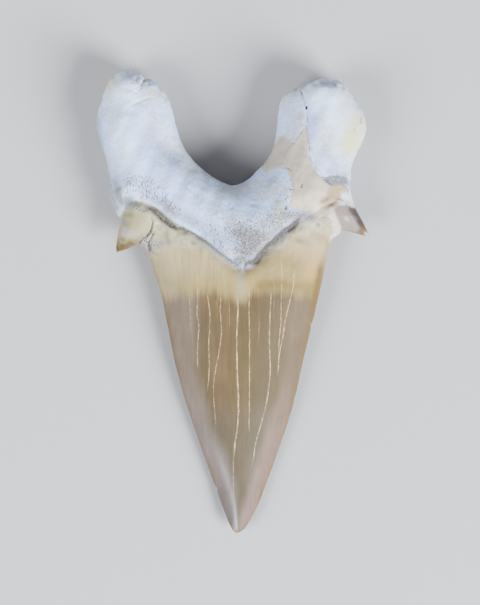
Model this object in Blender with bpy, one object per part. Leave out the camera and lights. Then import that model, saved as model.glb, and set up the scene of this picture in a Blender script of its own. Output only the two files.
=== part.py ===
"""A fossil shark tooth, one piece, lying on its flatter outer face.

The crown's tip points along -Y and the two root lobes along +Y. +Z is up, out of the
rounded inner face. The lengths below are millimetres of the real tooth, and the mesh
is made in metres, with its origin under the middle of the tooth, on the surface that
it lies on.
"""

import math

import bmesh
import bpy
import numpy as np
from mathutils import Vector
from mathutils.geometry import delaunay_2d_cdt

MM = 0.001

# Driving dimensions
LENGTH = 85.0
BLADE_BULGE = 0.50
BLADE_BACK_BULGE = 0.15
ROOT_BULGE = 0.93
CUSP_BULGE = 0.66
CUSP_BACK_BULGE = 0.35
ROOT_BACK_DEPTH = 4.6
EDGE_HEIGHT_AT_TIP = 1.5
EDGE_HEIGHT_AT_ROOT = 5.2
LIP_HEIGHT = 0.45
GROOVE_DEPTH = 0.65
LEAST_BULGE = 0.02

# How finely the faces follow the shape
EDGE_STEP = 0.85
FRONT_STEP = 1.0
BACK_STEP = 1.5
RIM_INSETS = (0.16, 0.55)
LINE_ROW_GAP = 0.5

# The outline, from the tip up the right side and down the left.
# Each stretch is a smooth curve, and the stretches meet in corners.
RIGHT_BLADE = [
    (0.7, -42.5), (1.7, -42.1), (2.6, -41.1), (4.8, -37.0), (8.1, -28.2), (11.0, -19.4),
    (13.0, -10.6), (15.1, -1.8), (16.6, 4.8), (17.5, 9.5), (18.4, 11.7), (20.3, 13.1),
]
RIGHT_CUSP_LOWER_EDGE = [(20.3, 13.1), (22.4, 12.6), (24.3, 12.05), (25.0, 12.1)]
RIGHT_CUSP_UPPER_EDGE = [(25.0, 12.1), (24.1, 14.1), (22.6, 17.0), (21.8, 19.3), (21.5, 21.0)]
RIGHT_LOBE = [
    (21.5, 21.0), (21.5, 23.6), (22.0, 25.8), (23.5, 28.9), (24.3, 31.3), (24.0, 34.2),
    (22.6, 36.7), (20.8, 39.4), (19.0, 40.8), (18.1, 40.3),
]
RIGHT_LOBE_INNER_SIDE = [
    (18.1, 40.3), (16.9, 41.0), (15.3, 40.5), (12.5, 39.4), (10.0, 38.4), (9.0, 37.1),
    (8.3, 34.6), (7.9, 30.7), (7.3, 27.8), (5.4, 24.9), (2.7, 22.4), (0.4, 21.4),
    (-1.7, 21.8), (-5.1, 24.0), (-8.6, 27.8), (-10.1, 31.3), (-11.6, 36.6), (-13.0, 38.9),
    (-15.0, 40.7),
]
LEFT_LOBE = [
    (-15.0, 40.7), (-16.0, 40.8), (-17.0, 41.5), (-18.4, 42.3), (-19.6, 42.5), (-22.0, 41.6),
    (-22.9, 39.9), (-24.6, 34.5), (-25.0, 32.4), (-24.1, 29.0), (-23.0, 26.0), (-22.6, 22.2),
    (-22.4, 18.9), (-21.3, 16.4), (-20.2, 14.9),
]
LEFT_CUSP_OUTER_EDGE = [(-20.2, 14.9), (-20.9, 12.8), (-21.3, 10.0), (-21.2, 9.1)]
LEFT_CUSP_LOWER_EDGE = [(-21.2, 9.1), (-19.8, 9.5), (-18.3, 10.1), (-17.2, 10.7)]
LEFT_SHOULDER = [(-17.2, 10.7), (-16.3, 9.8), (-15.4, 8.8)]
LEFT_BLADE = [
    (-15.4, 8.8), (-14.3, 5.3), (-13.0, 1.2), (-12.0, -4.0), (-10.2, -12.8), (-7.6, -21.6),
    (-4.5, -30.4), (-1.3, -39.1), (0.0, -41.9), (0.7, -42.5),
]
OUTLINE = (
    RIGHT_BLADE, RIGHT_CUSP_LOWER_EDGE, RIGHT_CUSP_UPPER_EDGE, RIGHT_LOBE, RIGHT_LOBE_INNER_SIDE,
    LEFT_LOBE, LEFT_CUSP_OUTER_EDGE, LEFT_CUSP_LOWER_EDGE, LEFT_SHOULDER, LEFT_BLADE,
)

# Where the root ends over the crown on the inner face. It dips to a point in the middle, and
# both ends run on past the outline.
ROOT_LIP_LEFT = [
    (-25.0, 13.6), (-22.6, 14.3), (-20.6, 15.2), (-19.3, 17.6), (-17.2, 18.5), (-14.6, 17.5),
    (-12.0, 15.5), (-9.0, 13.6), (-5.8, 11.4), (-2.4, 8.7), (0.3, 6.6), (1.9, 5.9),
]
ROOT_LIP_RIGHT = [
    (1.9, 5.9), (3.4, 6.7), (6.2, 9.5), (9.1, 12.3), (11.4, 14.4), (13.8, 15.8), (16.4, 17.0),
    (19.0, 17.9), (21.6, 17.7), (25.5, 16.9),
]
# The groove under the lip is filled flush from here on to the right
GROOVE_FADES = (11.5, 14.5)
# Where the enamel ends on the outer face, which is hidden while the tooth lies on it
BACK_ENAMEL_EDGE = [(-26.0, 12.0), (-17.5, 12.4), (-9.0, 13.0), (0.0, 10.4), (9.0, 13.2), (26.0, 14.8)]

# The clefts that part each side cusp from the blade, and the seam of the old crack in the right
# lobe, each with its depth and its width
LEFT_CUSP_CLEFT = [(-16.9, 10.6), (-15.9, 11.7), (-15.3, 13.1), (-15.4, 14.8)]
RIGHT_CUSP_CLEFT = [(20.2, 13.4), (19.3, 14.3), (18.6, 15.4)]
RIGHT_LOBE_SEAM = [(12.7, 38.6), (13.5, 34.8), (13.4, 31.0), (14.2, 26.6), (16.6, 22.6), (18.4, 20.9)]
FURROWS = (
    (LEFT_CUSP_CLEFT, 0.70, 0.60), (RIGHT_CUSP_CLEFT, 0.30, 0.60), (RIGHT_LOBE_SEAM, 0.35, 0.40),
)

# Side cusps: the middle of the base, the point, and half the width at the base
CUSP_AXES = (((-17.9, 15.0), (-21.0, 9.3), 3.3), ((19.8, 15.8), (24.9, 12.2), 2.9))

# Swellings and hollows of the root's inner face: height, centre, two radii and turn in degrees
ROOT_MOUNDS = (
    (1.35, (0.5, 13.4), (9.5, 5.0), 0),
    (0.9, (-19.3, 34.0), (4.2, 6.5), 0),
    (0.9, (18.6, 32.5), (4.0, 6.5), 0),
    (-0.9, (-12.0, 28.0), (2.4, 8.0), 46),
    (-0.6, (-20.6, 20.0), (1.5, 5.0), 0),
    (-0.6, (19.3, 19.6), (2.8, 1.7), 0),
    (-0.5, (11.5, 25.0), (3.0, 6.0), -20),
)
# Where the root stays thick until close to its edge: the lobes' blunt tops and the notch's floor
BLUNT_EDGES = (
    (2.8, (-18.5, 42.0), (5.5, 4.0), 0),
    (3.5, (17.0, 40.6), (6.5, 4.6), 0),
    (1.6, (-4.0, 21.5), (7.0, 3.2), -32),
)
# The skin's height within which a blunt edge drops to the outline
BLUNT_DROP = 8.0
# Filler that levels the hollow between the blade, the right cusp and the root
FILLER_MOUNDS = ((1.7, (16.7, 16.1), (2.0, 1.6), 30),)
# The swellings of the outer face: the two lobes and the blade, which the tooth lies on
BACK_MOUNDS = (
    (1.9, (-18.2, 32.0), (4.0, 6.5), 0),
    (1.7, (16.9, 32.0), (4.0, 6.5), 0),
    (0.8, (2.6, -25.0), (3.0, 9.0), 0),
)


def smooth_step(low, high, value):
    """0 below low, 1 above high, with a level start and end."""
    share = np.clip((value - low) / (high - low), 0.0, 1.0)
    return share * share * (3.0 - 2.0 * share)


def soft_least(a, b, reach):
    """The lesser of two, with the corner between them rounded over reach."""
    closeness = np.maximum(reach - np.abs(a - b), 0.0) / reach
    return np.minimum(a, b) - 0.25 * reach * closeness ** 2


def bell(value, width):
    """1 at zero, falling smoothly to nothing about two widths away."""
    return np.exp(-((value / width) ** 2))


def mounds(x, y, table):
    """The sum of rounded mounds, each with its own height, centre, radii and turn."""
    total = np.zeros(len(x))
    for height, (cx, cy), (along_radius, across_radius), turn in table:
        cosine, sine = math.cos(math.radians(turn)), math.sin(math.radians(turn))
        along = (x - cx) * cosine + (y - cy) * sine
        across = (y - cy) * cosine - (x - cx) * sine
        total += height * bell(along, along_radius) * bell(across, across_radius)
    return total


def curve_through(points, step):
    """Points about a step apart on a smooth curve through the given ones, without the last."""
    knots = [Vector(p) for p in points]
    knots = [2 * knots[0] - knots[1], *knots, 2 * knots[-1] - knots[-2]]
    pieces = 16
    fine = []
    for before, start, end, after in zip(knots, knots[1:], knots[2:], knots[3:]):
        for i in range(pieces):
            t = i / pieces
            fine.append(
                0.5 * (2 * start + (end - before) * t
                       + (2 * before - 5 * start + 4 * end - after) * t ** 2
                       + (3 * start - before - 3 * end + after) * t ** 3)
            )
    fine = np.array([*fine, knots[-2]])
    travelled = np.concatenate([[0.0], np.cumsum(np.linalg.norm(np.diff(fine, axis=0), axis=1))])
    count = max(2, round(travelled[-1] / step))
    stops = np.linspace(0.0, travelled[-1], count + 1)[:-1]
    return np.column_stack([np.interp(stops, travelled, fine[:, k]) for k in (0, 1)])


def sideways(line, closed=False):
    """The unit direction to the left of a line of points, at each point."""
    if closed:
        tangent = np.roll(line, -1, axis=0) - np.roll(line, 1, axis=0)
    else:
        tangent = np.gradient(line, axis=0)
    left = np.column_stack([-tangent[:, 1], tangent[:, 0]])
    return left / np.linalg.norm(left, axis=1)[:, None]


def distance_to(points, line, closed=False):
    """How far each point is from a line of points."""
    starts, ends = (line, np.roll(line, -1, axis=0)) if closed else (line[:-1], line[1:])
    nearest = np.full(len(points), np.inf)
    for start, end in zip(starts, ends):
        run = end - start
        share = np.clip(((points - start) @ run) / (run @ run), 0.0, 1.0)
        gap = np.linalg.norm(points - start - share[:, None] * run, axis=1)
        nearest = np.minimum(nearest, gap)
    return nearest


def inside(points, ring):
    """Which points lie inside a closed ring."""
    crossings = np.zeros(len(points), int)
    for (x0, y0), (x1, y1) in zip(ring, np.roll(ring, -1, axis=0)):
        if y0 == y1:
            continue
        spans = (points[:, 1] >= min(y0, y1)) & (points[:, 1] < max(y0, y1))
        crossings += spans & (points[:, 0] < x0 + (points[:, 1] - y0) * (x1 - x0) / (y1 - y0))
    return crossings % 2 == 1


def clear_of(points, placed, room):
    """The points that keep some room from those already placed."""
    gaps = np.linalg.norm(points[:, None] - placed[None], axis=2).min(axis=1)
    return points[gaps > room]


def even_field(step):
    """Points in a triangular pattern that covers the whole tooth."""
    reach = 0.55 * LENGTH
    across = np.arange(-reach, reach, step)
    rows = []
    for i, y in enumerate(np.arange(-reach, reach, step * math.sqrt(0.75))):
        rows.append(np.column_stack([across + (i % 2) * step / 2, np.full(len(across), y)]))
    return np.concatenate(rows)


def points_inside(ring, step, lines):
    """Rows of points along the rim, where the surface turns fastest, and along each line, and
    an even field over the rest."""
    placed = []
    inwards = sideways(ring, closed=True)
    for inset in RIM_INSETS:
        row = ring + inset * inwards
        clear = distance_to(row, ring, closed=True) > 0.9 * inset
        placed.append(row[clear & inside(row, ring)])
    placed = np.concatenate(placed)
    groups = []
    for line in lines:
        middle = curve_through(line, EDGE_STEP)
        offset = LINE_ROW_GAP * sideways(middle)
        groups.append((np.concatenate([middle, middle + offset, middle - offset]), 0.7 * LINE_ROW_GAP))
    groups.append((even_field(step), 0.62 * step))
    edge_room = RIM_INSETS[-1] + 0.5 * step
    for group, room in groups:
        group = group[inside(group, ring)]
        group = group[distance_to(group, ring, closed=True) > edge_room]
        placed = np.concatenate([placed, clear_of(group, placed, room)])
    return placed


def swell(points, faces, rim_count):
    """How far a skin stretched over the outline and blown up stands at each point.

    It is zero on the rim and, across a strip, the half width squared less the distance
    from the middle squared. So its square root has a round section, and it has none of
    the creases that the distance to the rim has.
    """
    count = len(points)
    pull = np.zeros((count, count))
    area = np.zeros(count)
    for corner in range(3):
        a, b, c = (faces[:, (corner + k) % 3] for k in range(3))
        to_a, to_b = points[a] - points[c], points[b] - points[c]
        double_area = np.abs(to_a[:, 0] * to_b[:, 1] - to_a[:, 1] * to_b[:, 0])
        cotangent = (to_a * to_b).sum(axis=1) / double_area
        for p, q in ((a, b), (b, a)):
            np.add.at(pull, (p, q), -0.5 * cotangent)
            np.add.at(pull, (p, p), 0.5 * cotangent)
        np.add.at(area, a, double_area / 6.0)
    height = np.zeros(count)
    free = slice(rim_count, count)
    height[free] = np.linalg.solve(pull[free, free], 2.0 * area[free])
    return np.maximum(height, 0.0)


def blade_half_width(y):
    """Half the blade's width at a height up the tooth, held above the shoulders."""
    left = curve_through(LEFT_BLADE, EDGE_STEP)[::-1]
    right = curve_through(RIGHT_BLADE[:-2], EDGE_STEP)
    y = np.clip(y, -41.5, 8.5)
    return 0.5 * (np.interp(y, right[:, 1], right[:, 0]) - np.interp(y, left[:, 1], left[:, 0]))


def above_line(x, y, line):
    """The distance from a line that runs from left to right, above it positive."""
    fine = curve_through(line, EDGE_STEP)
    gap = distance_to(np.column_stack([x, y]), fine)
    return np.where(y > np.interp(x, fine[:, 0], fine[:, 1]), gap, -gap)


def distance_to_curve(x, y, points):
    """How far each place is from a smooth curve through some points."""
    return distance_to(np.column_stack([x, y]), curve_through(points, EDGE_STEP))


def cusp_share(x, y):
    """1 over each side cusp and 0 away from them."""
    share = np.zeros(len(x))
    for base, point, half_width in CUSP_AXES:
        gap = distance_to(np.column_stack([x, y]), np.array([base, point]))
        share = np.maximum(share, 1.0 - smooth_step(0.7 * half_width, 1.35 * half_width, gap))
    return share


def edge_height(x, y):
    """How high the outline itself runs above the ground."""
    rise = EDGE_HEIGHT_AT_ROOT - EDGE_HEIGHT_AT_TIP
    height = EDGE_HEIGHT_AT_TIP + rise * smooth_step(-30, 22, y)
    height += 0.9 * smooth_step(-31, -43, y) - 0.9 * smooth_step(30, 43, y)
    for _, (px, py), _ in CUSP_AXES:
        height += 0.9 * bell(x - px, 5.0) * bell(y - py, 5.0)
    return height


def front_height(x, y, skin):
    """The rounded inner face, which is up."""
    lip = ROOT_LIP_LEFT[:-1] + ROOT_LIP_RIGHT
    above_lip = above_line(x, y, lip)
    left_arm = distance_to_curve(x, y, ROOT_LIP_LEFT)
    right_arm = distance_to_curve(x, y, ROOT_LIP_RIGHT)
    onto_root = np.where(above_lip > 0, soft_least(left_arm, right_arm, 5.0), 0.0)

    blade = BLADE_BULGE * skin / blade_half_width(y)
    root = ROOT_BULGE * np.sqrt(skin) + mounds(x, y, ROOT_MOUNDS)
    root += mounds(x, y, BLUNT_EDGES) * np.sqrt(1.0 - np.exp(-skin / BLUNT_DROP))
    root += 0.10 * np.sin(0.9 * x + 1.3) * np.sin(0.7 * y) + 0.08 * np.sin(1.7 * x - 0.8 * y)
    slope_width = 3.0 + 3.0 * bell(x - 1.0, 9.0)
    height = blade + np.maximum(root - blade, 0.0) * smooth_step(-0.4, 1.0, onto_root / slope_width)
    cusp = np.maximum(CUSP_BULGE * np.sqrt(skin) - height, 0.0)
    on_cusp = cusp_share(x, y)
    height += cusp * on_cusp * (1.0 - smooth_step(-0.3, 1.5, above_lip))
    height += mounds(x, y, FILLER_MOUNDS)

    # The lip of the root, the groove under it and the swollen band below that
    away_from_rim = smooth_step(0.0, 6.0, skin)
    open_groove = 1.0 - smooth_step(*GROOVE_FADES, x)
    height += LIP_HEIGHT * bell(above_lip - 0.7, 0.6) * away_from_rim * open_groove
    height -= GROOVE_DEPTH * bell(above_lip + 0.3, 0.5) * away_from_rim * open_groove
    height += 0.25 * bell(above_lip + 2.3, 1.3) * away_from_rim * (1.0 - on_cusp)
    for line, depth, width in FURROWS:
        height -= depth * bell(distance_to_curve(x, y, line), width) * away_from_rim
    return edge_height(x, y) + np.maximum(height, LEAST_BULGE * np.sqrt(skin))


def back_height(x, y, skin):
    """The flatter outer face, which is down. Where it would pass the ground it is flat on it."""
    above_enamel = above_line(x, y, BACK_ENAMEL_EDGE)
    blade = BLADE_BACK_BULGE * skin / blade_half_width(y)
    root = ROOT_BACK_DEPTH * np.tanh(0.85 * np.sqrt(skin) / ROOT_BACK_DEPTH)
    root -= 0.9 * bell(x - 0.5, 7.0) * bell(y - 18.0, 4.0)
    depth = blade + (root - blade) * smooth_step(-2.5, 3.0, above_enamel)
    depth = np.maximum(depth, CUSP_BACK_BULGE * np.sqrt(skin) * cusp_share(x, y))
    depth -= 0.3 * bell(above_enamel - 0.8, 0.7) * smooth_step(0.0, 6.0, skin)
    depth += mounds(x, y, BACK_MOUNDS) * np.tanh(skin / 12.0)
    return np.maximum(edge_height(x, y) - np.maximum(depth, LEAST_BULGE * np.sqrt(skin)), 0.0)


def add_face(bm, ring, rim, step, height_of, lines, facing_up):
    """Fills the outline with triangles whose inner corners stand at height_of, on the shared rim."""
    points = np.concatenate([ring, points_inside(ring, step, lines)])
    flat = [Vector(p) for p in points]
    made, _, triangles, _, _, _ = delaunay_2d_cdt(flat, [], [list(range(len(ring)))], 1, 1e-6)
    made = np.array(made)
    skin = swell(made, np.array(triangles), len(ring))
    heights = height_of(made[:, 0], made[:, 1], skin)
    corners = list(rim)
    for (x, y), z in zip(made[len(ring):], heights[len(ring):]):
        corners.append(bm.verts.new((x, y, z)))
    for triangle in triangles:
        face = [corners[i] for i in triangle]
        bm.faces.new(face if facing_up else face[::-1])


def fossil_material():
    """Old tooth: chalky white root and tan enamel, here as one pale body colour."""
    material = bpy.data.materials.new("fossil")
    material.use_nodes = True
    shader = material.node_tree.nodes["Principled BSDF"]
    shader.inputs["Base Color"].default_value = (0.62, 0.56, 0.47, 1.0)
    shader.inputs["Roughness"].default_value = 0.5
    shader.inputs["Metallic"].default_value = 0.0
    return material


def tooth():
    """The whole tooth as one closed solid: root, blade and two side cusps."""
    ring = np.concatenate([curve_through(stretch, EDGE_STEP) for stretch in OUTLINE])
    bm = bmesh.new()
    heights = edge_height(ring[:, 0], ring[:, 1])
    rim = [bm.verts.new((x, y, z)) for (x, y), z in zip(ring, heights)]
    front_lines = (ROOT_LIP_LEFT, ROOT_LIP_RIGHT, LEFT_CUSP_CLEFT, RIGHT_CUSP_CLEFT, RIGHT_LOBE_SEAM)
    add_face(bm, ring, rim, FRONT_STEP, front_height, front_lines, facing_up=True)
    add_face(bm, ring, rim, BACK_STEP, back_height, (BACK_ENAMEL_EDGE,), facing_up=False)
    middle = 0.5 * (ring.min(axis=0) + ring.max(axis=0))
    bmesh.ops.translate(bm, verts=bm.verts, vec=(-middle[0], -middle[1], 0.0))
    bmesh.ops.scale(bm, verts=bm.verts, vec=(MM, MM, MM))
    bmesh.ops.recalc_face_normals(bm, faces=bm.faces)
    mesh = bpy.data.meshes.new("tooth")
    bm.to_mesh(mesh)
    bm.free()
    mesh.shade_smooth()
    mesh.set_sharp_from_angle(angle=math.radians(50))
    mesh.materials.append(fossil_material())
    obj = bpy.data.objects.new("tooth", mesh)
    bpy.context.scene.collection.objects.link(obj)
    return obj


def main():
    for old in list(bpy.data.objects):
        bpy.data.objects.remove(old)
    tooth()


main()
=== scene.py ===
"""The looks of a fossil shark tooth, one piece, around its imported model.

The tooth lies on its flatter outer face, with its rounded inner face up. The crown's tip
points along -Y and the two root lobes along +Y. The shape starts as a merged copy of the
model, gets a finer mesh and the small relief, and carries its markings as attributes, which
the material reads. Lengths are millimetres, apart from the floor's and the lamps', which are
metres. A place in the tables may have a third number: how strong a stroke is there, from 0
to 1, and 1 where it is left out.
"""

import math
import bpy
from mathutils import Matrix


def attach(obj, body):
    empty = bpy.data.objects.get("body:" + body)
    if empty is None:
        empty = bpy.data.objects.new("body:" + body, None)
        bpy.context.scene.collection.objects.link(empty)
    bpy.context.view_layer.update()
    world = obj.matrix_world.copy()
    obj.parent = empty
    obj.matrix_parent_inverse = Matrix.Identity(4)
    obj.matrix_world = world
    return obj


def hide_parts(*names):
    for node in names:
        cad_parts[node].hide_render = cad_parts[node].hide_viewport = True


bl_info = {
    "name": "Fossil Shark Tooth",
    "version": (1, 0, 0),
    "blender": (4, 5, 0),
    "location": "3D View > Sidebar > Fossil Tooth",
    "description": "Gives a fossil shark tooth its fine relief, its markings and a stage",
    "category": "Object",
}

import bmesh
import bpy
import numpy as np
from bpy.props import FloatProperty, FloatVectorProperty, PointerProperty
from bpy.types import Operator, Panel, PropertyGroup
from mathutils import Vector, kdtree, noise

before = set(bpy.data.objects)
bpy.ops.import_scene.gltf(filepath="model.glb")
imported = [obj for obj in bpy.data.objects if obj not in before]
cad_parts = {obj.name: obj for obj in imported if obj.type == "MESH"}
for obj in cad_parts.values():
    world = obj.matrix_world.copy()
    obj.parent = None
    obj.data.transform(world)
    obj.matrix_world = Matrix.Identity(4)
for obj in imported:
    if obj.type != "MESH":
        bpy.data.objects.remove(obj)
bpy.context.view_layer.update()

NODE = "tooth"
BODY = "root"
PIECE = "fossil_tooth"
MM = 0.001

# Points of the model that are closer than this become one
MERGE_GAP = 0.001
# How far below the lip the blade starts, where the neck's middle is, and half the neck's height
BLADE_START, NECK_MIDDLE, NECK_HALF = 1.5, 0.4, 1.2
# How close to the lip, the tip's ridge, an outline and a furrow the mesh is finest, and the
# half-width from which a furrow needs no finer mesh
FINE_AT_LIP, FINE_AT_RIDGE, FINE_AT_OUTLINE, FINE_AT_FURROW = 1.5, 0.6, 0.5, 0.35
BROAD_FURROW = 0.6
# How many half-widths a soft stroke reaches, and how far the tints run on around the edge
STROKE_REACH = 2.2
WRAP = 2.0
# Noise in layers: its scale, how fast finer layers fade, how much finer each is, and how many
CHALK_NOISE = (0.8, 0.8, 2.1, 4)
SWELL_NOISE = (0.22, 1.0, 2.0, 2)
GRIT_NOISE = (2.2, 0.7, 2.1, 2)
# How dirty the lip's grooves and the furrows are, and the most that they can be
GROOVE_DIRT, FURROW_DIRT, MOST_DIRT = 2.0, 1.2, 0.95
# How rough the blade's and the cusps' enamel is, and what chalk and filler add
BLADE_ROUGHNESS, CUSP_ROUGHNESS, CHALK_ADDS = 0.50, 0.36, 0.42
# How high the cracks are in the fine bump, and the strength above which they part the blade's
# middle into strips
CRACK_BUMP, STRIP_STRENGTH = -0.5, 0.5
# Half the floor's width, the lamps, the place that the camera looks at, and its height
FLOOR_REACH = 6.0
SOFTBOX_SIZE = (0.40, 0.45)
SOFTBOXES = {"key": (0.60, -0.43, 0.52), "fill": (-0.55, -0.25, 0.55)}
VIEW_CENTRE = (1.37, -0.09)
OUTLINE_HEIGHT = 4.5

# The crown's left cutting edge, from the tip up
LEFT_EDGE = [
    (0.7, -42.5), (-1.3, -39.1), (-4.5, -30.4), (-7.6, -21.6), (-10.2, -12.8), (-12.0, -4.0),
    (-13.0, 1.2), (-14.3, 5.3), (-15.4, 8.8), (-17.2, 10.7),
]
# Where the blade's tan middle meets its two greyer flanks, from the tip up
# The flanks' greyer colour is partly their own tone and partly a painted sheen of the lamps
RIGHT_FLANK = [
    (0.8, -41.6), (1.1, -40.4), (1.8, -38.2), (3.1, -34.0), (4.3, -30.2), (5.4, -25.6),
    (6.4, -22.0), (7.2, -19.5), (8.2, -17.0), (8.9, -13.5), (9.3, -9.2), (10.0, -3.5), (10.9, 1.3),
    (11.3, 5.7), (12.4, 9.0),
]
LEFT_FLANK = [
    (0.7, -41.6), (0.5, -39.5), (0.2, -37.0), (-0.1, -34.0), (-0.6, -31.0), (-1.6, -28.0),
    (-3.2, -25.0), (-4.4, -22.0), (-5.3, -17.0), (-6.1, -14.0), (-6.4, -12.0), (-6.4, -2.4),
    (-6.3, 1.3), (-6.4, 7.1), (-7.0, 9.0),
]
# Where the root ends over the crown on the inner face, and the enamel's own upper edge below it
ROOT_LIP = [
    (-25.0, 13.6), (-22.6, 14.3), (-20.6, 15.2), (-19.3, 17.6), (-17.2, 18.5), (-14.6, 17.5),
    (-12.0, 15.5), (-9.0, 13.6), (-5.8, 11.4), (-2.4, 8.7), (0.3, 6.6), (1.9, 5.9), (3.4, 6.7),
    (6.2, 9.5), (9.1, 12.3), (11.4, 14.4), (13.8, 15.8), (16.4, 17.0), (19.0, 17.9), (21.6, 17.7),
    (25.5, 16.9),
]
ENAMEL_EDGE = [
    (-22.0, 7.0), (-15.3, 8.0), (-13.3, 9.1), (-11.2, 9.9), (-9.2, 9.9), (-5.5, 9.7), (-2.8, 8.1),
    (0.0, 6.6), (1.9, 5.6), (3.8, 6.0), (5.4, 7.3), (7.2, 8.6), (9.1, 10.0), (10.5, 11.4),
    (11.8, 12.3), (13.5, 12.5), (16.4, 12.6), (18.2, 13.4), (25.0, 16.0),
]
# The lower end of the enamel's cream upper band
BAND_EDGE = [
    (-15.0, 2.0), (-12.0, 1.2), (-8.0, 1.5), (-6.4, 1.8), (-2.4, 1.7), (-0.6, 1.1), (0.6, 0.3),
    (2.4, 0.2), (3.4, 1.6), (4.2, 2.3), (6.9, 2.6), (10.6, 2.2), (11.4, 1.8), (14.0, 1.6),
    (16.0, 1.6),
]
# The root's and the enamel's edges on the outer face, on which the tooth lies
BACK_ROOT_EDGE = [
    (-26.0, 12.4), (-17.5, 12.8), (-9.0, 13.4), (0.0, 10.8), (9.0, 13.6), (26.0, 15.2),
]
BACK_ENAMEL_EDGE = [(x, y - 1.2) for x, y in BACK_ROOT_EDGE]

# Closed outlines: the two side cusps' enamel, and the filler in the right lobe
LEFT_CUSP = [
    (-19.9, 16.1), (-18.4, 16.4), (-16.8, 16.1), (-15.5, 15.4), (-14.9, 14.6), (-14.7, 13.5),
    (-15.3, 12.5), (-16.3, 11.6), (-17.0, 10.7), (-18.2, 9.9), (-19.5, 9.0), (-21.0, 8.4),
    (-22.4, 8.8), (-22.2, 10.6), (-21.9, 12.5), (-21.2, 14.3),
]
RIGHT_CUSP = [
    (18.6, 17.2), (18.6, 16.2), (19.3, 14.8), (19.8, 13.7), (20.3, 12.6), (21.9, 12.0),
    (23.7, 11.4), (25.8, 11.2), (25.8, 12.5), (24.9, 14.6), (23.5, 16.9), (21.9, 17.2),
    (20.9, 17.6), (19.6, 17.7),
]
FILLER = [
    (13.2, 32.6), (13.5, 31.3), (13.7, 28.7), (13.9, 26.4), (14.5, 24.5), (15.3, 23.1),
    (16.4, 22.2), (17.2, 21.1), (17.4, 20.0), (18.2, 19.4), (19.2, 18.9), (19.5, 18.0),
    (18.8, 16.4), (19.2, 15.0), (19.9, 13.7), (19.4, 11.6), (18.0, 12.6), (17.9, 14.3),
    (16.4, 15.2), (14.7, 15.6), (13.3, 16.1), (11.8, 16.7), (10.3, 17.2), (10.6, 18.7),
    (10.7, 20.5), (10.35, 22.5), (10.0, 23.8), (9.45, 25.2), (9.5, 26.4), (10.05, 27.7),
    (10.95, 28.7), (11.85, 29.9), (12.7, 31.0),
]

# Cracks in the enamel, each read downwards: its strength, then its places
CRACKS = [
    (0.4, (-8.0, 1.6), (-7.7, -1.1), (-7.6, -3.8), (-7.4, -6.0)),
    (0.8, (-6.4, 7.1), (-6.3, 4.8), (-6.3, 1.3), (-6.4, -2.4), (-6.1, -4.4), (-6.4, -9.3),
     (-6.3, -12.6)),
    (0.7, (-4.6, 1.6), (-4.1, -1.8), (-4.1, -4.2), (-4.3, -7.7), (-4.2, -11.9), (-4.6, -16.5)),
    (0.6, (-2.1, 1.6), (-2.2, -2.0), (-2.0, -4.4), (-2.1, -6.8), (-2.5, -9.3), (-3.3, -13.9),
     (-3.5, -16.5), (-3.3, -18.9), (-3.0, -23.4)),
    (0.3, (-0.6, 0.4), (-0.5, -3.5), (-0.6, -5.3)),
    (0.2, (-2.8, 0.7), (-2.7, -3.5)),
    (1.2, (0.9, 0.7), (1.0, -1.8), (0.8, -5.3), (0.8, -8.6), (0.9, -13.2), (1.1, -18.9),
     (0.9, -23.1), (0.5, -25.6), (0.3, -28.2)),
    (0.4, (0.3, -26.0), (0.15, -29.9), (0.15, -33.4), (0.25, -36.0), (0.35, -38.0)),
    (0.65, (3.1, 2.2), (3.0, -1.8), (3.1, -4.2), (3.1, -11.7), (3.1, -17.6), (3.0, -23.8)),
    (0.2, (4.8, -1.8), (4.8, -5.9), (4.4, -8.1)),
    (0.8, (7.0, 1.5), (6.8, -4.0), (6.7, -7.1), (6.9, -12.3), (6.6, -15.6), (6.1, -18.9),
     (5.3, -22.0), (4.3, -25.6), (3.6, -30.2)),
    (0.6, (8.9, 7.1), (9.0, 4.0), (8.9, 1.3), (8.8, -3.5), (8.5, -7.1), (8.3, -10.1)),
    (0.8, (11.3, 5.7), (11.1, 3.3), (10.7, 1.3), (9.6, -3.5), (9.2, -6.2), (8.6, -9.2),
     (8.2, -13.5)),
    (0.2, (7.6, 4.0), (7.5, -3.5)),
    (0.5, (0.25, -35.5), (0.35, -37.0), (0.55, -39.9), (0.7, -42.3), (0.8, -45.0)),
]
# Fine dark hairlines in the cream band
HAIRLINES = [
    (0.5, (-10.6, 9.2), (-10.3, 7.0), (-10.0, 4.6)), (0.4, (-9.3, 9.2), (-9.0, 6.0), (-8.7, 3.4)),
    (0.7, (-5.8, 9.0), (-5.8, 7.6), (-5.7, 6.6)), (0.4, (-4.4, 8.4), (-4.2, 6.0), (-4.2, 3.6)),
    (0.5, (-3.3, 8.2), (-3.3, 6.0), (-3.2, 4.0)), (0.3, (-2.2, 7.4), (-2.2, 4.6)),
    (0.3, (6.4, 6.6), (6.3, 4.4)), (0.3, (9.9, 9.0), (9.8, 6.6)), (0.3, (13.6, 10.6), (13.2, 8.4)),
]
# The stretch of the blade, and the reach to each side, that the cracks' curves are drawn over
CRACK_TOP = 10.0
CRACK_BOTTOM = -46.0
CRACK_REACH = 14.0

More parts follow.
